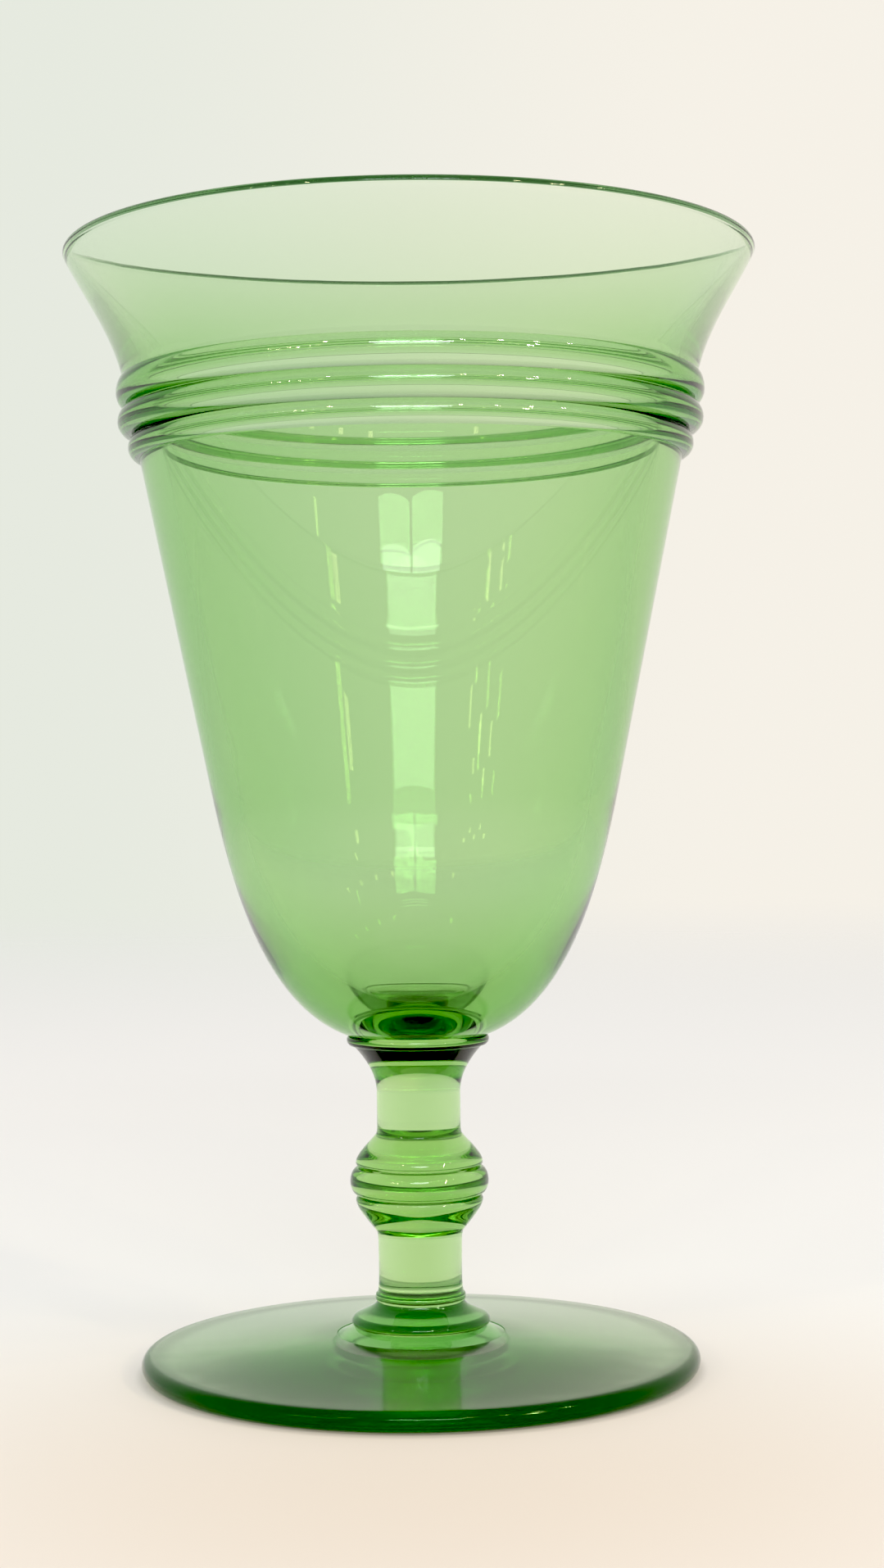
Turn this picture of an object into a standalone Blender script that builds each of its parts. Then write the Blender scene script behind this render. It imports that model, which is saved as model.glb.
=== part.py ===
"""Footed goblet in green glass, modelled gather by gather.

A hot-shop goblet is put together from separate gathers of glass: a blown bowl with
three trailed threads under its flared lip, a wafer, a two-column stem with a ringed
knop between the columns, a second wafer, and a pressed foot. Every gather is one
closed solid turned about the vertical axis.

Units are metres. The goblet stands on Z = 0, and its axis is the Z axis.
"""

import math

import bmesh
import bpy
from mathutils import Vector
from mathutils.geometry import interpolate_bezier

# ---- driving dimensions ------------------------------------------------------

HEIGHT = 0.1650          # foot to rim
GAP = 0.0003             # clearance left at each hot joint
WELD = 1.0e-6            # distance at which doubled points merge

# Foot
FOOT_RADIUS = 0.0412
FOOT_EDGE = 0.0030       # thickness of the rounded edge
FOOT_HUB_HEIGHT = 0.0050
FOOT_HUB_RADIUS = 0.0130
FOOT_SAG = 0.0003        # hollow of the upper slope, below a straight cone
PONTIL_RADIUS = 0.0128   # polished dish in the middle of the underside
PONTIL_DEPTH = 0.0008

# Wafer between the stem and the foot
FOOT_WAFER_HEIGHT = 0.0009
FOOT_WAFER_TOP_RADIUS = 0.0096
FOOT_WAFER_RADIUS = 0.0124

# Stem
COLUMN_RADIUS = 0.00620
LOWER_STEM_HEIGHT = 0.0136
COLLAR_RADIUS = 0.0067       # thin ring round the lower column, above its bell
COLLAR_LEVEL = 0.0041        # middle of the ring, above the underside of the column
COLLAR_HALF_HEIGHT = 0.0006
BELL_RADIUS = 0.01025        # spread lower end of the column
BELL_ROUNDING = 0.0008
KNOP_HEIGHT = 0.0140
KNOP_END_RADIUS = 0.0064
KNOP_NOTCH_RADIUS = 0.0089
KNOP_SHOULDER_RADIUS = 0.0094
KNOP_MIDDLE_RADIUS = 0.0103
KNOP_MIDDLE_HEIGHT = 0.0043
UPPER_STEM_HEIGHT = 0.0129
UPPER_STEM_TOP_RADIUS = 0.0096

# Wafer between the bowl and the stem
BOWL_WAFER_HEIGHT = 0.0014
BOWL_WAFER_RADIUS = 0.01055

# Bowl
BOWL_BASE_RADIUS = 0.0108
BOWL_TURN_RADIUS = 0.0300     # where the tapered wall turns into the round base
BOWL_TURN_HEIGHT = 0.0354     # the same place, above the underside of the bowl
THROAT_RADIUS = 0.0426        # where the tapered wall turns out into the lip
THROAT_DEPTH = 0.0180         # the same place, below the rim
LIP_RADIUS = 0.0509
LIP_WALL = 0.0017
THROAT_WALL = 0.0034
TURN_WALL = 0.0040
BASE_WALL = 0.0030

# Threads trailed round the bowl: top and bottom, below the rim, and largest radius
THREADS = {
    "thread_upper": (0.0188, 0.0230, 0.0434),
    "thread_middle": (0.0233, 0.0272, 0.0432),
    "thread_lower": (0.0275, 0.0307, 0.0417),
}

# Facets round the axis
WIDE_STEPS = 48
STEM_STEPS = 32

# Glass: linear base colour of a thin and of a thick stretch
THIN_GLASS = (0.42, 0.66, 0.30, 1.0)
THICK_GLASS = (0.16, 0.42, 0.13, 1.0)
GLASS_ROUGHNESS = 0.03
GLASS_IOR = 1.52

# Heights of the seats, counted up from the foot
FOOT_WAFER_SEAT = FOOT_HUB_HEIGHT + GAP
LOWER_STEM_SEAT = FOOT_WAFER_SEAT + FOOT_WAFER_HEIGHT + GAP
KNOP_SEAT = LOWER_STEM_SEAT + LOWER_STEM_HEIGHT + GAP
UPPER_STEM_SEAT = KNOP_SEAT + KNOP_HEIGHT + GAP
BOWL_WAFER_SEAT = UPPER_STEM_SEAT + UPPER_STEM_HEIGHT + GAP
BOWL_SEAT = BOWL_WAFER_SEAT + BOWL_WAFER_HEIGHT + GAP
BOWL_HEIGHT = HEIGHT - BOWL_SEAT


# ---- outlines: (radius, height) points -----------------------------------------


def curve(start, start_handle, end_handle, end, spans):
    """Points along one Bezier span, without its first point."""
    corners = [Vector((r, 0.0, z)) for r, z in (start, start_handle, end_handle, end)]
    points = interpolate_bezier(*corners, spans + 1)
    return [(point.x, point.z) for point in points[1:]]


def arc(centre, radii, start_angle, end_angle, spans):
    """Points along an elliptical arc, both ends included; angles in degrees."""
    points = []
    for i in range(spans + 1):
        angle = math.radians(start_angle + (end_angle - start_angle) * i / spans)
        r = centre[0] + radii[0] * math.cos(angle)
        z = centre[1] + radii[1] * math.sin(angle)
        points.append((r, z))
    return points


def foot_outline():
    """Low cone with a thick round edge, flat below, with a polished pontil dish."""
    half = FOOT_EDGE / 2
    edge_centre = (FOOT_RADIUS - half, half)
    slope_end = (edge_centre[0], FOOT_EDGE)
    third = (slope_end[0] - FOOT_HUB_RADIUS) / 3
    near_hub = (FOOT_HUB_RADIUS + third, FOOT_HUB_HEIGHT * 0.8 + FOOT_EDGE * 0.2 - FOOT_SAG)
    near_edge = (slope_end[0] - third, FOOT_HUB_HEIGHT * 0.3 + FOOT_EDGE * 0.7 - FOOT_SAG)
    hub = (FOOT_HUB_RADIUS, FOOT_HUB_HEIGHT)
    outline = [(0.0, FOOT_HUB_HEIGHT), hub]
    outline += curve(hub, near_hub, near_edge, slope_end, 4)
    outline += arc(edge_centre, (half, half), 90, -90, 6)[1:]
    outline.append((PONTIL_RADIUS, 0.0))
    outline += arc((0.0, 0.0), (PONTIL_RADIUS, PONTIL_DEPTH), 0, 90, 4)[1:]
    return outline


def foot_wafer_outline():
    """Thin disc whose side spreads to the foot in a hollow curve."""
    shoulder = (FOOT_WAFER_TOP_RADIUS, FOOT_WAFER_HEIGHT)
    rim = (FOOT_WAFER_RADIUS, 0.0)
    outline = [(0.0, FOOT_WAFER_HEIGHT), shoulder]
    outline += curve(shoulder, (shoulder[0] + 0.0007, 0.0006), (rim[0] - 0.0010, 0.0003), rim, 4)
    outline.append((0.0, 0.0))
    return outline


def lower_stem_outline():
    """Short column with a thin collar, spreading into a bell whose lower edge is rounded."""
    top = (KNOP_END_RADIUS, LOWER_STEM_HEIGHT)
    waist = (COLUMN_RADIUS, LOWER_STEM_HEIGHT - 0.0030)
    collar = (COLUMN_RADIUS, COLLAR_LEVEL)
    collar_size = (COLLAR_RADIUS - COLUMN_RADIUS, COLLAR_HALF_HEIGHT)
    bell = (BELL_RADIUS - BELL_ROUNDING, BELL_ROUNDING)
    bell_side = (bell[0] + BELL_ROUNDING * 0.5, bell[1] + BELL_ROUNDING * 0.87)
    outline = [(0.0, LOWER_STEM_HEIGHT), top]
    outline += curve(top, (COLUMN_RADIUS, top[1] - 0.0006), (COLUMN_RADIUS, waist[1] + 0.001), waist, 2)
    outline += arc(collar, collar_size, 90, -70, 5)
    outline += curve(outline[-1], (COLUMN_RADIUS + 0.0005, 0.0027), (bell[0] - 0.0017, 0.0024), bell_side, 5)
    outline += arc(bell, (BELL_ROUNDING, BELL_ROUNDING), 60, -90, 5)[1:]
    outline.append((0.0, 0.0))
    return outline


def knop_outline():
    """Shoulder, wide middle ring and shoulder, with a notch between each two."""
    middle = KNOP_HEIGHT / 2 + 0.0003
    half = KNOP_MIDDLE_HEIGHT / 2
    upper_notch = (KNOP_NOTCH_RADIUS, middle + half)
    lower_notch = (KNOP_NOTCH_RADIUS, middle - half)
    upper_crest = (KNOP_SHOULDER_RADIUS, upper_notch[1] + 0.0008)
    lower_crest = (KNOP_SHOULDER_RADIUS, lower_notch[1] - 0.0008)
    top = (KNOP_END_RADIUS, KNOP_HEIGHT)
    bottom = (KNOP_END_RADIUS, 0.0)
    bulge = KNOP_MIDDLE_RADIUS - KNOP_NOTCH_RADIUS
    outline = [(0.0, KNOP_HEIGHT), top]
    outline += curve(top, (0.0074, 0.0130), (0.0092, 0.0114), upper_crest, 4)
    outline.append(upper_notch)
    outline += arc((KNOP_NOTCH_RADIUS, middle), (bulge, half * 0.96), 80, -80, 7)
    outline.append(lower_notch)
    outline.append(lower_crest)
    outline += curve(lower_crest, (0.0092, 0.0030), (0.0074, 0.0012), bottom, 4)
    outline.append((0.0, 0.0))
    return outline


def upper_stem_outline():
    """Short column that flares up to the bowl's wafer."""
    top = (UPPER_STEM_TOP_RADIUS, UPPER_STEM_HEIGHT)
    waist = (COLUMN_RADIUS, UPPER_STEM_HEIGHT * 0.50)
    bottom = (KNOP_END_RADIUS, 0.0)
    outline = [(0.0, UPPER_STEM_HEIGHT), top]
    outline += curve(top, (0.0081, 0.0112), (0.0063, 0.0090), waist, 6)
    outline.append((COLUMN_RADIUS, 0.0014))
    outline.append(bottom)
    outline.append((0.0, 0.0))
    return outline


def bowl_wafer_outline():
    """Thin disc with a round rim."""
    half = BOWL_WAFER_HEIGHT / 2
    centre = (BOWL_WAFER_RADIUS - half, half)
    outline = [(0.0, BOWL_WAFER_HEIGHT)]
    outline += arc(centre, (half, half), 90, -90, 4)
    outline.append((0.0, 0.0))
    return outline


def bowl_outline():
    """Inner wall from the middle of the bowl up, over the lip and down outside."""
    lip = LIP_WALL / 2
    inner_floor = (0.0, BASE_WALL)
    inner_turn = (BOWL_TURN_RADIUS - TURN_WALL, BOWL_TURN_HEIGHT + 0.0004)
    inner_throat = (THROAT_RADIUS - THROAT_WALL, BOWL_HEIGHT - THROAT_DEPTH + 0.0006)
    inner_lip = (LIP_RADIUS - LIP_WALL, BOWL_HEIGHT - lip)
    outer_lip = (LIP_RADIUS, BOWL_HEIGHT - lip)
    outer_throat = (THROAT_RADIUS, BOWL_HEIGHT - THROAT_DEPTH)
    outer_turn = (BOWL_TURN_RADIUS, BOWL_TURN_HEIGHT)
    base = (BOWL_BASE_RADIUS, 0.0)
    taper = (THROAT_RADIUS - BOWL_TURN_RADIUS) / (outer_throat[1] - outer_turn[1])

    outline = [inner_floor]
    outline += curve(inner_floor, (0.0125, BASE_WALL), (inner_turn[0] - 0.0028, 0.0144), inner_turn, 8)
    outline.append(inner_throat)
    outline += curve(inner_throat, (0.0414, 0.1038), (0.0467, 0.1104), inner_lip, 6)
    outline += arc((LIP_RADIUS - lip, BOWL_HEIGHT - lip), (lip, lip), 180, 0, 4)[1:-1]
    outline.append(outer_lip)
    outline += curve(outer_lip, (0.0486, 0.1098), (0.0442, 0.1039), outer_throat, 6)
    outline.append(outer_turn)
    outline += curve(outer_turn, (outer_turn[0] - taper * 0.017, 0.0184), (0.0215, 0.0042), base, 8)
    outline.append((0.0, 0.0))
    return outline


def wall_radius(depth):
    """Outer radius of the tapered wall at a depth below the rim."""
    fall = BOWL_HEIGHT - THROAT_DEPTH - BOWL_TURN_HEIGHT
    taper = (THROAT_RADIUS - BOWL_TURN_RADIUS) / fall
    return THROAT_RADIUS - taper * (depth - THROAT_DEPTH)


def thread_outline(top_depth, bottom_depth, radius):
    """Half-round band, flat on the side that lies against the bowl."""
    height = bottom_depth - top_depth
    inner_top = wall_radius(top_depth) + GAP
    inner_bottom = wall_radius(bottom_depth) + GAP
    outline = []
    spans = 6
    for i in range(spans + 1):
        angle = math.pi * i / spans
        share = (1 - math.cos(angle)) / 2
        seat = inner_top + (inner_bottom - inner_top) * share
        outline.append((seat + (radius - seat) * math.sin(angle), height * (1 - share)))
    return outline


# ---- objects -------------------------------------------------------------------


def glass(name, colour):
    """Clear coloured glass."""
    material = bpy.data.materials.new(name)
    material.use_nodes = True
    material.diffuse_color = colour
    shader = material.node_tree.nodes["Principled BSDF"]
    shader.inputs["Base Color"].default_value = colour
    shader.inputs["Roughness"].default_value = GLASS_ROUGHNESS
    shader.inputs["Metallic"].default_value = 0.0
    shader.inputs["IOR"].default_value = GLASS_IOR
    shader.inputs["Transmission Weight"].default_value = 1.0
    return material


def turned(name, outline, seat, steps, material, parent, ring=False):
    """Turn an outline once round the Z axis, as an object standing at its seat."""
    mesh = bpy.data.meshes.new(name)
    solid = bmesh.new()
    points = [solid.verts.new((r, 0.0, z)) for r, z in outline]
    pairs = list(zip(points, points[1:]))
    if ring:
        pairs.append((points[-1], points[0]))
    lines = [solid.edges.new(pair) for pair in pairs]
    bmesh.ops.spin(
        solid,
        geom=points + lines,
        cent=(0.0, 0.0, 0.0),
        axis=(0.0, 0.0, 1.0),
        angle=math.tau,
        steps=steps,
        use_merge=True,
    )
    bmesh.ops.remove_doubles(solid, verts=solid.verts, dist=WELD)
    bmesh.ops.recalc_face_normals(solid, faces=solid.faces)
    solid.to_mesh(mesh)
    solid.free()
    mesh.shade_smooth()
    mesh.set_sharp_from_angle(angle=math.radians(40))
    mesh.materials.append(material)
    piece = bpy.data.objects.new(name, mesh)
    piece.location = (0.0, 0.0, seat)
    piece.parent = parent
    bpy.context.scene.collection.objects.link(piece)
    return piece


def clear_scene():
    """Remove every object that the scene starts with."""
    for thing in list(bpy.data.objects):
        bpy.data.objects.remove(thing, do_unlink=True)


def build_goblet():
    """Make every gather and stand them on one another."""
    goblet = bpy.data.objects.new("goblet", None)
    bpy.context.scene.collection.objects.link(goblet)
    gathers = (
        ("foot", foot_outline(), 0.0, WIDE_STEPS, THICK_GLASS),
        ("foot_wafer", foot_wafer_outline(), FOOT_WAFER_SEAT, STEM_STEPS, THICK_GLASS),
        ("lower_stem", lower_stem_outline(), LOWER_STEM_SEAT, STEM_STEPS, THICK_GLASS),
        ("ringed_knop", knop_outline(), KNOP_SEAT, STEM_STEPS, THICK_GLASS),
        ("upper_stem", upper_stem_outline(), UPPER_STEM_SEAT, STEM_STEPS, THICK_GLASS),
        ("bowl_wafer", bowl_wafer_outline(), BOWL_WAFER_SEAT, STEM_STEPS, THICK_GLASS),
        ("bowl", bowl_outline(), BOWL_SEAT, WIDE_STEPS, THIN_GLASS),
    )
    for name, outline, seat, steps, colour in gathers:
        turned(name, outline, seat, steps, glass(name + "_glass", colour), goblet)
    for name, (top, bottom, radius) in THREADS.items():
        outline = thread_outline(top, bottom, radius)
        material = glass(name + "_glass", THICK_GLASS)
        turned(name, outline, HEIGHT - bottom, WIDE_STEPS, material, goblet, ring=True)


clear_scene()
build_goblet()
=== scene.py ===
import math

import bpy
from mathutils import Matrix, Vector
from mathutils.geometry import interpolate_bezier


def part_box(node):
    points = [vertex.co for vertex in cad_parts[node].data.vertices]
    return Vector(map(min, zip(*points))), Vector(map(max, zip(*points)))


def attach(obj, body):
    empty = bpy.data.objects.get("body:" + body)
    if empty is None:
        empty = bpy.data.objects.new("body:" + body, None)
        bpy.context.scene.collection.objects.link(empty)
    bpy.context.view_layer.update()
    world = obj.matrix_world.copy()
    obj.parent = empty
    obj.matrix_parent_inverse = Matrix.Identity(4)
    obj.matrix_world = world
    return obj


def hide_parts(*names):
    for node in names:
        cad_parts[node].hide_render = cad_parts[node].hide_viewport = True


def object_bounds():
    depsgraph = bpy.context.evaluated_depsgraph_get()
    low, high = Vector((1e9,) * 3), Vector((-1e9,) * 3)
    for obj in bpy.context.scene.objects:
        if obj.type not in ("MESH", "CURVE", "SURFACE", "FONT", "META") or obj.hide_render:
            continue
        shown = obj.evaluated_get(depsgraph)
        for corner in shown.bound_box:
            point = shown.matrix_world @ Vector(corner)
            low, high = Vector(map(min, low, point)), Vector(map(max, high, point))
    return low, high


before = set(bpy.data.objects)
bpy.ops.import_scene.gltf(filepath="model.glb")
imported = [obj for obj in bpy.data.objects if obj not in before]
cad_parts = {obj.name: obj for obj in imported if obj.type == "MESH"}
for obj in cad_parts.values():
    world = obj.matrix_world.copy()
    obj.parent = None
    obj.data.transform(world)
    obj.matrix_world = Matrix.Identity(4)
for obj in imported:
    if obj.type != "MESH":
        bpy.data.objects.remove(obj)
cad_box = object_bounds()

# The goblet is fused glass: at each hot joint the two gathers meet with no air between
# them. Every gather is a closed mesh of its own. The faces that it shares with its
# neighbour are marked fused and bend no light, so light crosses a joint as in one glass.
# The rolled rim's faces are marked too, for a painted dark green shade along its thick edge, where the
# long path of light through the glass darkens it.

SCENE = bpy.context.scene

# ---- camera ---------------------------------------------------------------------

CAMERA_DISTANCE = 0.3855
CAMERA_HEIGHT = 0.0863
CAMERA_RIGHT = 0.0040
CAMERA_LENS = 59.7
CAMERA_ROLL = math.radians(0.65)

camera_data = bpy.data.cameras.new("camera")
camera_data.lens = CAMERA_LENS
camera_data.sensor_width = 36.0
camera_data.clip_start = 0.01
camera = bpy.data.objects.new("camera", camera_data)
camera.location = (CAMERA_RIGHT, -CAMERA_DISTANCE, CAMERA_HEIGHT)
camera.rotation_euler = (math.radians(90), CAMERA_ROLL, 0.0)
SCENE.collection.objects.link(camera)
SCENE.camera = camera

# ---- sizes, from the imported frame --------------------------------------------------

SEGMENTS = 192           # facets round the axis
SAME_POINT = 1e-6        # distance below which two outline points are one
SHARP_ANGLE = 38.0       # degrees; steeper creases stay sharp
OVERLAP = 0.00003        # how far a fused face reaches into its neighbour
GLASS, FUSED, ROLLED = 0, 1, 2   # marks of plain, fused and rolled rim faces


def joint_height(lower, upper):
    """Height of the hot joint between two gathers, midway in the gap of the frame."""
    return (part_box(lower)[1][2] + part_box(upper)[0][2]) / 2


def radius_of(node):
    """Largest radius of a gather."""
    low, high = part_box(node)
    return (high[0] - low[0]) / 2


FOOT_JOINT = joint_height("foot", "foot_wafer")
WAFER_JOINT = joint_height("foot_wafer", "lower_stem")
KNOP_BOTTOM = joint_height("lower_stem", "ringed_knop")
KNOP_TOP = joint_height("ringed_knop", "upper_stem")
FLARE_JOINT = joint_height("upper_stem", "bowl_wafer")
BOWL_JOINT = joint_height("bowl_wafer", "bowl")
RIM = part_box("bowl")[1][2]

COLUMN_RADIUS = 0.00620  # plain columns above and below the knop
KNOP_END_RADIUS = 0.0064
KNOP_NOTCH_RADIUS = 0.0089
KNOP_SHOULDER_RADIUS = 0.0094
KNOP_RING_HALF = 0.00215     # half the height of the knop's middle ring
KNOP_RING_ARC = 82       # degrees from the ring's crest to its notches
COLLAR_RISE = 0.0042     # middle of the lower column's collar, above its joint with the wafer
COLLAR_RADIUS = COLUMN_RADIUS + 0.0002
BELL_EDGE = (0.0008, 0.0007)     # width and height of the bell's rounded lower edge
WAFER_LAND = 0.0108      # radius at which the bowl's wall meets its wafer
FOOT_EDGE = 0.0030       # thickness of the foot at its round edge
FOOT_HUB_RADIUS = 0.0130
FOOT_SAG = 0.0003        # hollow of the foot's upper side
PONTIL_RADIUS = 0.0128   # polished dish under the foot
PONTIL_DEPTH = 0.0008
TURN = (0.0300, 0.0850)      # radius and height where the taper meets the round base
THROAT = (0.0426, 0.1470)    # radius and height where the taper meets the flared lip
OUTER_FLARE = ((0.0486, 0.1594), (0.0442, 0.1535))   # curve handles, lip to throat
INNER_FLARE = ((0.0414, 0.1534), (0.0467, 0.1600))   # curve handles, throat to lip
ROLL_START = 160         # degrees round the lip at which the rolled rim starts
LIP_WALL = 0.0017        # thickness of the bowl's wall
THROAT_WALL = 0.0034
TURN_WALL = 0.0040
BOWL_FLOOR = 0.0526      # height of the bowl's inner floor
BOWL_FLOOR_FLAT = 0.0125     # handle that keeps the inner floor flat round the axis
THREAD_REACH = 5 * OVERLAP   # how far a thread grows to meet its neighbour


# ---- outlines: runs of (radius, height) points, outer side from top to bottom ----------
# The middle two points of each curve are its Bezier handles.


def curve(start, start_handle, end_handle, end, spans):
    """Points along one Bezier span, both ends included."""
    corners = [Vector((r, 0.0, z)) for r, z in (start, start_handle, end_handle, end)]
    return [(point.x, point.z) for point in interpolate_bezier(*corners, spans + 1)]


def arc(centre, radii, start_angle, end_angle, spans):
    """Points along an elliptical arc, both ends included; angles in degrees."""
    points = []
    for i in range(spans + 1):
        angle = math.radians(start_angle + (end_angle - start_angle) * i / spans)
        r = centre[0] + radii[0] * math.cos(angle)
        z = centre[1] + radii[1] * math.sin(angle)
        points.append((r, z))
    return points


def line(start, end, spans):
    """Points along a straight run, both ends included."""
    across, up = end[0] - start[0], end[1] - start[1]
    return [(start[0] + across * i / spans, start[1] + up * i / spans) for i in range(spans + 1)]


def lid(radius, height):
    """Fused face across the top of a piece, from the axis outwards."""
    return (FUSED, line((0.0, height + OVERLAP), (radius, height + OVERLAP), 6))


def base(radius, height):
    """Fused face across the bottom of a piece, in to the axis."""
    return (FUSED, line((radius, height - OVERLAP), (0.0, height - OVERLAP), 6))


def taper_radius(height):
    """Outer radius of the bowl's tapered wall."""
    share = (height - TURN[1]) / (THROAT[1] - TURN[1])
    return TURN[0] + (THROAT[0] - TURN[0]) * share


def bowl_runs():
    """Inner wall up from the floor, over the lip, and down outside to the wafer."""
    half = LIP_WALL / 2
    lip = (radius_of("bowl") - half, RIM - half)
    taper = (THROAT[0] - TURN[0]) / (THROAT[1] - TURN[1])
    inner_turn = (TURN[0] - TURN_WALL, TURN[1] + 0.0004)
    inner_throat = (THROAT[0] - THROAT_WALL, THROAT[1] + 0.0006)
    inner_lip = (lip[0] - half, lip[1])
    band_top_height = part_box("thread_upper")[1][2]
    band_bottom_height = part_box("thread_lower")[0][2]
    band_top = (taper_radius(band_top_height), band_top_height - OVERLAP)
    band_bottom = (taper_radius(band_bottom_height), band_bottom_height + OVERLAP)
    inside = curve((0.0, BOWL_FLOOR), (BOWL_FLOOR_FLAT, BOWL_FLOOR),
                   (inner_turn[0] - 0.0028, 0.0640), inner_turn, 40)
    inside += line(inner_turn, inner_throat, 10)[1:]
    inside += curve(inner_throat, *INNER_FLARE, inner_lip, 24)[1:]
    inside += arc(lip, (half, half), 180, ROLL_START, 2)[1:]
    rim = arc(lip, (half, half), ROLL_START, 0, 14)
    outside = curve(rim[-1], *OUTER_FLARE, THROAT, 24)
    outside += line(THROAT, band_top, 1)[1:]
    below = line(band_bottom, TURN, 10)
    below += curve(TURN, (TURN[0] - taper * 0.017, 0.0680), (0.0215, 0.0538),
                   (WAFER_LAND, BOWL_JOINT), 40)[1:]
    return [(GLASS, inside), (ROLLED, rim), (GLASS, outside),
            (FUSED, line(band_top, band_bottom, 8)), (GLASS, below), base(WAFER_LAND, BOWL_JOINT)]


def thread_runs(node):
    """Half-round band whose inner side is fused to the bowl's wall."""
    low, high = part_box(node)
    bottom = max(low[2] - THREAD_REACH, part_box("thread_lower")[0][2])
    top = min(high[2] + THREAD_REACH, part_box("thread_upper")[1][2])
    inner_top, inner_bottom = taper_radius(top) - OVERLAP, taper_radius(bottom) - OVERLAP
    outer = []
    spans = 20
    for i in range(spans + 1):
        angle = math.pi * i / spans
        share = (1 - math.cos(angle)) / 2     # of the way down
        seat = inner_top + (inner_bottom - inner_top) * share
        height = top + (bottom - top) * share
        outer.append((seat + (high[0] - seat) * math.sin(angle), height))
    return [(GLASS, outer), (FUSED, line((inner_bottom, bottom), (inner_top, top), 6))]


def bowl_wafer_runs():
    """Thin disc with a round rim."""
    half = (BOWL_JOINT - FLARE_JOINT) / 2
    radius = radius_of("bowl_wafer") - half
    rim = arc((radius, FLARE_JOINT + half), (half, half + OVERLAP), 90, -90, 12)
    return [lid(radius, BOWL_JOINT), (GLASS, rim), base(radius, FLARE_JOINT)]


def upper_stem_runs():
    """Short column that flares up to the bowl's wafer."""
    top = (radius_of("upper_stem"), FLARE_JOINT + OVERLAP)
    waist = (COLUMN_RADIUS, KNOP_TOP + 0.0064)
    column_end = (COLUMN_RADIUS, KNOP_TOP + 0.0014)
    end = (KNOP_END_RADIUS, KNOP_TOP - OVERLAP)
    side = curve(top, (0.0081, top[1] - 0.0017), (0.0063, top[1] - 0.0039), waist, 24)
    side += line(waist, column_end, 4)[1:]
    side += curve(column_end, (COLUMN_RADIUS, KNOP_TOP + 0.0008),
                  (COLUMN_RADIUS + 0.00005, KNOP_TOP + 0.0003), end, 4)[1:]
    return [lid(top[0], FLARE_JOINT), (GLASS, side), base(end[0], KNOP_TOP)]


def knop_runs():
    """Shoulder, wide middle ring and shoulder, with a notch between each two."""
    middle = (KNOP_TOP + KNOP_BOTTOM) / 2 + 0.0003
    bulge = radius_of("ringed_knop") - KNOP_NOTCH_RADIUS
    upper_notch = (KNOP_NOTCH_RADIUS, middle + KNOP_RING_HALF)
    lower_notch = (KNOP_NOTCH_RADIUS, middle - KNOP_RING_HALF)
    upper_crest = (KNOP_SHOULDER_RADIUS, upper_notch[1] + 0.0008)
    lower_crest = (KNOP_SHOULDER_RADIUS, lower_notch[1] - 0.0008)
    top = (KNOP_END_RADIUS, KNOP_TOP + OVERLAP)
    bottom = (KNOP_END_RADIUS, KNOP_BOTTOM - OVERLAP)
    side = curve(top, (0.0074, KNOP_TOP - 0.0012), (0.0092, KNOP_TOP - 0.0028), upper_crest, 14)
    side += curve(upper_crest, (0.0095, upper_crest[1] - 0.0005),
                  (0.0092, upper_notch[1] + 0.0001), upper_notch, 6)[1:]
    side += arc((KNOP_NOTCH_RADIUS, middle), (bulge, KNOP_RING_HALF * 0.97),
                KNOP_RING_ARC, -KNOP_RING_ARC, 20)
    side += curve(lower_notch, (0.0092, lower_notch[1] - 0.0001),
                  (0.0095, lower_crest[1] + 0.0005), lower_crest, 6)
    side += curve(lower_crest, (0.0092, KNOP_BOTTOM + 0.0032),
                  (0.0074, KNOP_BOTTOM + 0.0014), bottom, 14)[1:]
    return [lid(top[0], KNOP_TOP), (GLASS, side), base(bottom[0], KNOP_BOTTOM)]


def lower_stem_runs():
    """Short column with a thin collar, spreading into a bell whose lower edge is rounded."""
    top = (KNOP_END_RADIUS, KNOP_BOTTOM + OVERLAP)
    collar = WAFER_JOINT + COLLAR_RISE
    bell = (radius_of("lower_stem") - BELL_EDGE[0], WAFER_JOINT + BELL_EDGE[1])
    side = curve(top, (COLUMN_RADIUS, top[1] - 0.0006), (COLUMN_RADIUS, top[1] - 0.0020),
                 (COLUMN_RADIUS, top[1] - 0.0030), 8)
    side += curve(side[-1], (COLUMN_RADIUS - 0.0001, collar + 0.0030),
                  (COLUMN_RADIUS, collar + 0.0014), (COLLAR_RADIUS, collar + 0.0006), 12)[1:]
    side += arc((COLLAR_RADIUS, collar), (0.0003, 0.0006), 90, -70, 10)[1:]
    side += curve(side[-1], (COLUMN_RADIUS + 0.0005, collar - 0.0014),
                  (bell[0] - 0.0017, bell[1] + 0.0017), (bell[0] + 0.0003, bell[1] + 0.0008), 16)[1:]
    side += arc(bell, (BELL_EDGE[0], BELL_EDGE[1] + OVERLAP), 60, -90, 12)[1:]
    return [lid(top[0], KNOP_BOTTOM), (GLASS, side), base(bell[0], WAFER_JOINT)]


def foot_wafer_runs():
    """Thin disc that spreads in a hollow curve to the foot."""
    top = (radius_of("lower_stem") - 0.0006, WAFER_JOINT + OVERLAP)
    rim = (radius_of("foot_wafer"), FOOT_JOINT - OVERLAP)
    side = curve(top, (top[0] + 0.0007, top[1] - 0.0003),
                 (rim[0] - 0.0010, rim[1] + 0.0003), rim, 8)
    return [lid(top[0], WAFER_JOINT), (GLASS, side), base(rim[0], FOOT_JOINT)]


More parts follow.
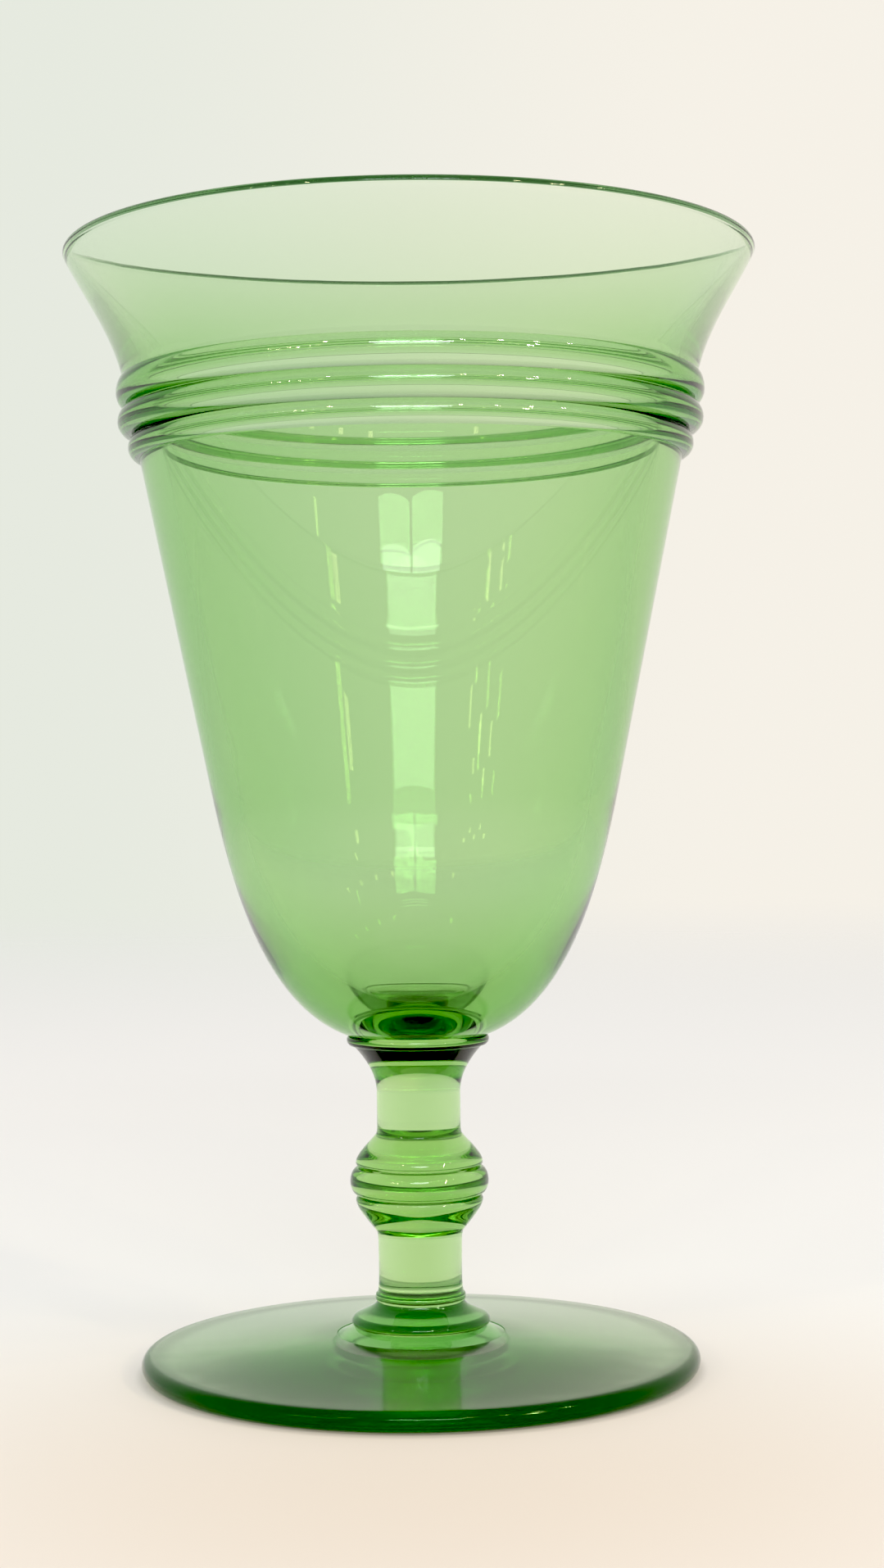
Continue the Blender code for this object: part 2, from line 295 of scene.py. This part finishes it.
def foot_runs():
    """Low cone with a thick round edge, flat below, with a polished pontil dish."""
    half = FOOT_EDGE / 2
    hub_height = FOOT_JOINT + OVERLAP
    edge = (radius_of("foot") - half, half)
    hub = (radius_of("foot_wafer") + OVERLAP, hub_height)
    slope_end = (edge[0], FOOT_EDGE)
    third = (slope_end[0] - FOOT_HUB_RADIUS) / 3
    near_hub = (FOOT_HUB_RADIUS + third, hub_height * 0.8 + FOOT_EDGE * 0.2 - FOOT_SAG)
    near_edge = (slope_end[0] - third, hub_height * 0.3 + FOOT_EDGE * 0.7 - FOOT_SAG)
    side = curve(hub, near_hub, near_edge, slope_end, 24)
    side += arc(edge, (half, half), 90, -90, 20)[1:]
    side += line((edge[0], 0.0), (PONTIL_RADIUS, 0.0), 10)[1:]
    side += arc((0.0, 0.0), (PONTIL_RADIUS, PONTIL_DEPTH), 0, 90, 16)[1:]
    return [lid(hub[0], FOOT_JOINT), (GLASS, side)]


# ---- meshes -----------------------------------------------------------------------


def turned(name, runs, glass):
    """Closed mesh of runs turned once round the axis, riding on the root body."""
    outline, marks = [], []
    for mark, points in runs:
        for point in points:
            if outline and math.dist(point, outline[-1]) < SAME_POINT:
                continue
            if outline:
                marks.append(mark)
            outline.append(point)
    closed = outline[0][0] > SAME_POINT
    if closed and math.dist(outline[0], outline[-1]) < SAME_POINT:
        outline.pop()
    verts, rings = [], []
    for r, z in outline:
        steps = SEGMENTS if r > SAME_POINT else 1
        rings.append([len(verts) + i for i in range(steps)])
        for i in range(steps):
            angle = math.tau * i / SEGMENTS
            verts.append((r * math.cos(angle), r * math.sin(angle), z))
    pairs = list(zip(rings, rings[1:]))
    if closed:
        pairs.append((rings[-1], rings[0]))
    faces, face_marks = [], []
    for (upper, lower), mark in zip(pairs, marks):
        for i in range(SEGMENTS):
            a, b = upper[i % len(upper)], upper[(i + 1) % len(upper)]
            c, d = lower[(i + 1) % len(lower)], lower[i % len(lower)]
            faces.append(tuple(dict.fromkeys((d, c, b, a))))
            face_marks.append(mark)
    mesh = bpy.data.meshes.new(name)
    mesh.from_pydata(verts, [], faces)
    mesh.materials.append(glass)
    for layer_name, mark in (("fused", FUSED), ("rolled", ROLLED)):
        layer = mesh.attributes.new(layer_name, "FLOAT", "FACE")
        layer.data.foreach_set("value", [float(face_mark == mark) for face_mark in face_marks])
    mesh.shade_smooth()
    mesh.set_sharp_from_angle(angle=math.radians(SHARP_ANGLE))
    mesh.update()
    piece = bpy.data.objects.new(name, mesh)
    SCENE.collection.objects.link(piece)
    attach(piece, "root")
    return piece


# ---- materials ----------------------------------------------------------------------

WHITE = (1.0, 1.0, 1.0, 1.0)
GLASS_IOR = 1.52
RIPPLE_SCALE = 90.0                   # ripples of the hand-made surface, per metre
RIPPLE_DEPTH = 0.0002
BOWL_TINT = (0.096, 0.040, 0.130)     # red, green and blue taken out by a millimetre of glass
STEM_TINT = (0.056, 0.022, 0.088)
FOOT_TINT = (0.080, 0.029, 0.092)
RIM_PAINTED_SHADE = (0.06, 0.17, 0.06, 1.0)    # painted shade along the rolled rim, for the dark line that its long light path gives
FOOT_SHEEN = (0.32, 0.62, 0.30, 1.0)
DENSITY_MARGIN = 1.05                 # keeps the strongest tint a little short of full


def add_node(tree, kind, inputs=None, **settings):
    """New shader node with its settings, and then the values of its unlinked inputs."""
    node = tree.nodes.new(kind)
    for name, value in settings.items():
        setattr(node, name, value)
    for name, value in (inputs or {}).items():
        node.inputs[name].default_value = value
    return node


def fill_ramp(ramp, stops):
    """Give a colour ramp its stops; the two that it starts with become the outer ones."""
    elements = ramp.color_ramp.elements
    for element, (position, colour) in zip(elements, (stops[0], stops[-1])):
        element.position = position
        element.color = colour
    for position, colour in stops[1:-1]:
        elements.new(position).color = colour


def absorb(tree, rgb_per_mm):
    """Tint the inside of the glass: how much of each colour a millimetre takes out."""
    per_metre = [taken * 1000.0 for taken in rgb_per_mm]
    density = max(per_metre) * DENSITY_MARGIN
    colour = (*[1 - taken / density for taken in per_metre], 1.0)
    volume = add_node(tree, "ShaderNodeVolumeAbsorption", {"Color": colour, "Density": density})
    tree.links.new(volume.outputs["Volume"], tree.nodes["Material Output"].inputs["Volume"])


def glass_material(name, rgb_per_mm, ripple, roughness=0.0, sheen=WHITE, rim=None):
    """Fire-polished glass, tinted through its depth, with a faint hand-made ripple."""
    material = bpy.data.materials.new(name)
    material.use_nodes = True
    tree = material.node_tree
    link = tree.links.new
    shader = tree.nodes["Principled BSDF"]
    shader.inputs["Base Color"].default_value = WHITE
    shader.inputs["Roughness"].default_value = roughness
    shader.inputs["IOR"].default_value = GLASS_IOR
    shader.inputs["Transmission Weight"].default_value = 1.0
    shader.inputs["Specular Tint"].default_value = sheen
    # Painted shade: a dark green mixed into the base colour of the rolled rim's faces, for the dark
    # line along the lip
    if rim:
        rolled = add_node(tree, "ShaderNodeAttribute", attribute_name="rolled")
        painted_rim_shade = add_node(tree, "ShaderNodeMix", {"A": WHITE, "B": rim}, data_type="RGBA")
        link(rolled.outputs["Fac"], painted_rim_shade.inputs["Factor"])
        link(painted_rim_shade.outputs["Result"], shader.inputs["Base Color"])
    fused = add_node(tree, "ShaderNodeAttribute", attribute_name="fused")
    bend = add_node(tree, "ShaderNodeMapRange", {"To Min": GLASS_IOR, "To Max": 1.0})
    link(fused.outputs["Fac"], bend.inputs["Value"])
    link(bend.outputs["Result"], shader.inputs["IOR"])
    place = add_node(tree, "ShaderNodeTexCoord")
    noise = add_node(tree, "ShaderNodeTexNoise", {"Scale": RIPPLE_SCALE, "Detail": 1.0})
    bump = add_node(tree, "ShaderNodeBump", {"Strength": ripple, "Distance": RIPPLE_DEPTH})
    link(place.outputs["Object"], noise.inputs["Vector"])
    link(noise.outputs["Fac"], bump.inputs["Height"])
    link(bump.outputs["Normal"], shader.inputs["Normal"])
    absorb(tree, rgb_per_mm)
    return material


bowl_glass = glass_material("bowl_glass", BOWL_TINT, ripple=0.05, rim=RIM_PAINTED_SHADE)
stem_glass = glass_material("stem_glass", STEM_TINT, ripple=0.03)
foot_glass = glass_material("foot_glass", FOOT_TINT, ripple=0.20, roughness=0.12, sheen=FOOT_SHEEN)

# Name, node of the frame that it replaces, outline, glass, and slot of the record
PIECES = (
    ("blown_bowl", "bowl", bowl_runs(), bowl_glass, "bowl_glass"),
    ("trail_upper", "thread_upper", thread_runs("thread_upper"), bowl_glass, "trail_glass"),
    ("trail_middle", "thread_middle", thread_runs("thread_middle"), bowl_glass, "trail_glass"),
    ("trail_lower", "thread_lower", thread_runs("thread_lower"), bowl_glass, "trail_glass"),
    ("wafer_under_bowl", "bowl_wafer", bowl_wafer_runs(), stem_glass, "stem_glass"),
    ("stem_upper_column", "upper_stem", upper_stem_runs(), stem_glass, "stem_glass"),
    ("stem_knop", "ringed_knop", knop_runs(), stem_glass, "stem_glass"),
    ("stem_lower_column", "lower_stem", lower_stem_runs(), stem_glass, "stem_glass"),
    ("wafer_on_foot", "foot_wafer", foot_wafer_runs(), stem_glass, "stem_glass"),
    ("round_foot", "foot", foot_runs(), foot_glass, "foot_glass"),
)

for name, node, runs, glass, slot in PIECES:
    piece = turned(name, runs, glass)
    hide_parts(node)


# ---- stage: pale floor that fades into pale air --------------------------------------

FLOOR_RADIUS = 2.0
FLOOR_FACETS = 64
FLOOR_DROP = 0.0002                   # gap under the foot
FLOOR_COLOUR = (0.62, 0.61, 0.585, 1.0)
FLOOR_GLOW = (0.315, 0.315, 0.355, 1.0)
WARM_GLOW = (0.21, 0.13, 0.11, 1.0)   # painted pool of warm light on the cloth in front of the foot
WARM_POOL_CENTRE = (0.005, -0.075, 0.0)
WARM_POOL_RADIUS = 0.16
SHADOW_REACH = 0.050
# Contact shadow under the foot: radius, and share of light left there
SHADOW = ((0.0, 0.30), (0.010, 0.22), (0.021, 0.85), (0.036, 0.97), (0.0392, 0.55),
          (0.0408, 0.80), (0.0425, 1.0))
FADE_START, FADE_END = 0.35, 1.60     # distances between which the cloth fades out


def floor_material():
    """Pale cloth that glows faintly, for the room's scattered light, with a painted pool of warm light
    in front of the foot and a painted contact shadow under it, and fades with distance.
    """
    material = bpy.data.materials.new("table_cloth")
    material.use_nodes = True
    tree = material.node_tree
    link = tree.links.new
    shader = tree.nodes["Principled BSDF"]
    shader.inputs["Roughness"].default_value = 0.9
    shader.inputs["Specular IOR Level"].default_value = 0.1
    place = add_node(tree, "ShaderNodeTexCoord")
    distance = add_node(tree, "ShaderNodeVectorMath", operation="LENGTH")
    link(place.outputs["Object"], distance.inputs[0])

    # Painted pool of warm light: the cloth's glow turns warm near a point in front of the foot
    to_warm_pool = add_node(tree, "ShaderNodeVectorMath", {1: WARM_POOL_CENTRE}, operation="DISTANCE")
    warm_pool_share = add_node(tree, "ShaderNodeMapRange",
                      {"From Max": WARM_POOL_RADIUS, "To Min": 1.0, "To Max": 0.0},
                      interpolation_type="SMOOTHSTEP")
    glow = add_node(tree, "ShaderNodeMix", {"A": FLOOR_GLOW, "B": WARM_GLOW}, data_type="RGBA")
    link(place.outputs["Object"], to_warm_pool.inputs[0])
    link(to_warm_pool.outputs["Value"], warm_pool_share.inputs["Value"])
    link(warm_pool_share.outputs["Result"], glow.inputs["Factor"])
    link(glow.outputs["Result"], shader.inputs["Emission Color"])

    spread = add_node(tree, "ShaderNodeMapRange", {"From Max": SHADOW_REACH})
    shadow = add_node(tree, "ShaderNodeValToRGB")
    shadow.color_ramp.interpolation = "EASE"
    fill_ramp(shadow, [(radius / SHADOW_REACH, (light, light, light, 1.0)) for radius, light in SHADOW])
    cloth = add_node(tree, "ShaderNodeMix", {"Factor": 1.0, "B": FLOOR_COLOUR},
                     data_type="RGBA", blend_type="MULTIPLY")
    link(distance.outputs["Value"], spread.inputs["Value"])
    link(spread.outputs["Result"], shadow.inputs["Fac"])
    link(shadow.outputs["Color"], cloth.inputs["A"])
    link(cloth.outputs["Result"], shader.inputs["Base Color"])
    link(shadow.outputs["Color"], shader.inputs["Emission Strength"])

    fade = add_node(tree, "ShaderNodeMapRange",
                    {"From Min": FADE_START, "From Max": FADE_END, "To Min": 1.0, "To Max": 0.0},
                    interpolation_type="SMOOTHSTEP")
    link(distance.outputs["Value"], fade.inputs["Value"])
    link(fade.outputs["Result"], shader.inputs["Alpha"])
    return material


def round_outline(radius, facets):
    """Corners of a flat round sheet."""
    angles = [math.tau * i / facets for i in range(facets)]
    return [(radius * math.cos(angle), radius * math.sin(angle), 0.0) for angle in angles]


floor_mesh = bpy.data.meshes.new("table")
floor_mesh.from_pydata(round_outline(FLOOR_RADIUS, FLOOR_FACETS), [], [tuple(range(FLOOR_FACETS))])
floor_mesh.materials.append(floor_material())
floor = bpy.data.objects.new("table", floor_mesh)
floor.location = (0.0, 0.0, cad_box[0][2] - FLOOR_DROP)
SCENE.collection.objects.link(floor)

# ---- light ------------------------------------------------------------------------------

# Colour of the air by height: 0 is straight down, 1 straight up
AIR = ((0.0, (0.87, 0.85, 0.80, 1.0)), (0.70, (0.88, 0.86, 0.80, 1.0)),
       (0.92, (0.70, 0.69, 0.66, 1.0)), (1.0, (0.60, 0.60, 0.58, 1.0)))
AIR_LEFT = (0.91, 0.965, 0.94, 1.0)   # tone that the air is multiplied by to the left
AIR_RIGHT = (1.05, 1.03, 1.01, 1.0)   # and to the right
AIR_TURN = (-0.16, 0.12)              # sideways directions between which the tone changes
WINDOW_LIGHT = (0.88, 0.93, 1.0)
LAMP_LIGHT = (1.0, 0.82, 0.52)
AIM = Vector((0.0, 0.0, 0.09))        # middle of the goblet

WINDOW = (0.02, -0.96, 0.645)         # middle of the window's four panes
PANE_STEP = (0.145, 0.019)            # from the middle of the window to the middle of a pane
PANE_SIZE = (0.27, 0.032)
PANE_POWER = 0.55
# Turn from the front, to the right, in degrees, and height
SPARKS = ((-38, 0.56), (-42, 0.50), (-46, 0.53), (-50, 0.47), (-54, 0.51))
SPARK_REACH = 1.02                    # distance from the axis
SPARK_SIZE = (0.026, 0.026)
SPARK_POWER = 0.25
BULBS = ((-34, 0.80), (22, 0.80), (38, 0.80), (54, 0.80), (70, 0.80))
BULB_REACH = 0.95
BULB_SIZE = (0.04, 0.04)
BULB_POWER = 0.60


def build_world():
    """Pale air all round, dimmer overhead, cooler to the left and warmer to the right."""
    world = bpy.data.worlds.new("studio")
    SCENE.world = world
    world.use_nodes = True
    tree = world.node_tree
    link = tree.links.new
    place = add_node(tree, "ShaderNodeTexCoord")
    split = add_node(tree, "ShaderNodeSeparateXYZ")
    rise = add_node(tree, "ShaderNodeMapRange", {"From Min": -1.0, "From Max": 1.0})
    ramp = add_node(tree, "ShaderNodeValToRGB")
    across = add_node(tree, "ShaderNodeMapRange",
                      {"From Min": AIR_TURN[0], "From Max": AIR_TURN[1]},
                      interpolation_type="SMOOTHSTEP")
    tone = add_node(tree, "ShaderNodeMix", {"A": AIR_LEFT, "B": AIR_RIGHT}, data_type="RGBA")
    shade = add_node(tree, "ShaderNodeMix", {"Factor": 1.0},
                     data_type="RGBA", blend_type="MULTIPLY")
    fill_ramp(ramp, AIR)
    link(place.outputs["Generated"], split.inputs["Vector"])
    link(split.outputs["Z"], rise.inputs["Value"])
    link(rise.outputs["Result"], ramp.inputs["Fac"])
    link(split.outputs["X"], across.inputs["Value"])
    link(across.outputs["Result"], tone.inputs["Factor"])
    link(ramp.outputs["Color"], shade.inputs["A"])
    link(tone.outputs["Result"], shade.inputs["B"])
    link(shade.outputs["Result"], tree.nodes["Background"].inputs["Color"])


def area_light(name, place, size, power, colour):
    """Soft rectangular light turned towards the middle of the goblet."""
    data = bpy.data.lights.new(name, "AREA")
    data.shape = "RECTANGLE"
    data.size, data.size_y = size
    data.energy = power
    data.color = colour
    light = bpy.data.objects.new(name, data)
    light.location = place
    light.rotation_euler = (AIM - Vector(place)).to_track_quat("-Z", "Y").to_euler()
    SCENE.collection.objects.link(light)


def ring_of_lights(name, turns, reach, size, power):
    """Small warm lamps round the axis, each at its turn and height."""
    for turn, height in turns:
        angle = math.radians(turn)
        place = (reach * math.sin(angle), -reach * math.cos(angle), height)
        area_light(name, place, size, power, LAMP_LIGHT)


build_world()
for column in (-1, 1):
    for row in (-1, 1):
        place = (WINDOW[0] + column * PANE_STEP[0], WINDOW[1], WINDOW[2] + row * PANE_STEP[1])
        area_light("window_pane", place, PANE_SIZE, PANE_POWER, WINDOW_LIGHT)
area_light("window_blind", (0.02, -0.97, 0.555), (0.50, 0.15), 1.30, WINDOW_LIGHT)
area_light("lamp_strip_low", (0.75, -0.70, 0.525), (0.050, 0.065), 1.50, LAMP_LIGHT)
area_light("lamp_strip_high", (0.80, -0.64, 0.640), (0.026, 0.040), 0.50, LAMP_LIGHT)
ring_of_lights("lamp_spark", SPARKS, SPARK_REACH, SPARK_SIZE, SPARK_POWER)
ring_of_lights("lamp_bulb", BULBS, BULB_REACH, BULB_SIZE, BULB_POWER)

# ---- picture ------------------------------------------------------------------------------

BLACK_LEVEL = 0.035

SCENE.view_settings.view_transform = "Standard"
SCENE.view_settings.use_curve_mapping = True
SCENE.view_settings.curve_mapping.black_level = (BLACK_LEVEL, BLACK_LEVEL, BLACK_LEVEL)
SCENE.view_settings.curve_mapping.update()
SCENE.cycles.max_bounces = 40
SCENE.cycles.transmission_bounces = 32
SCENE.cycles.glossy_bounces = 24
SCENE.cycles.transparent_max_bounces = 32
SCENE.cycles.sample_clamp_indirect = 4.0
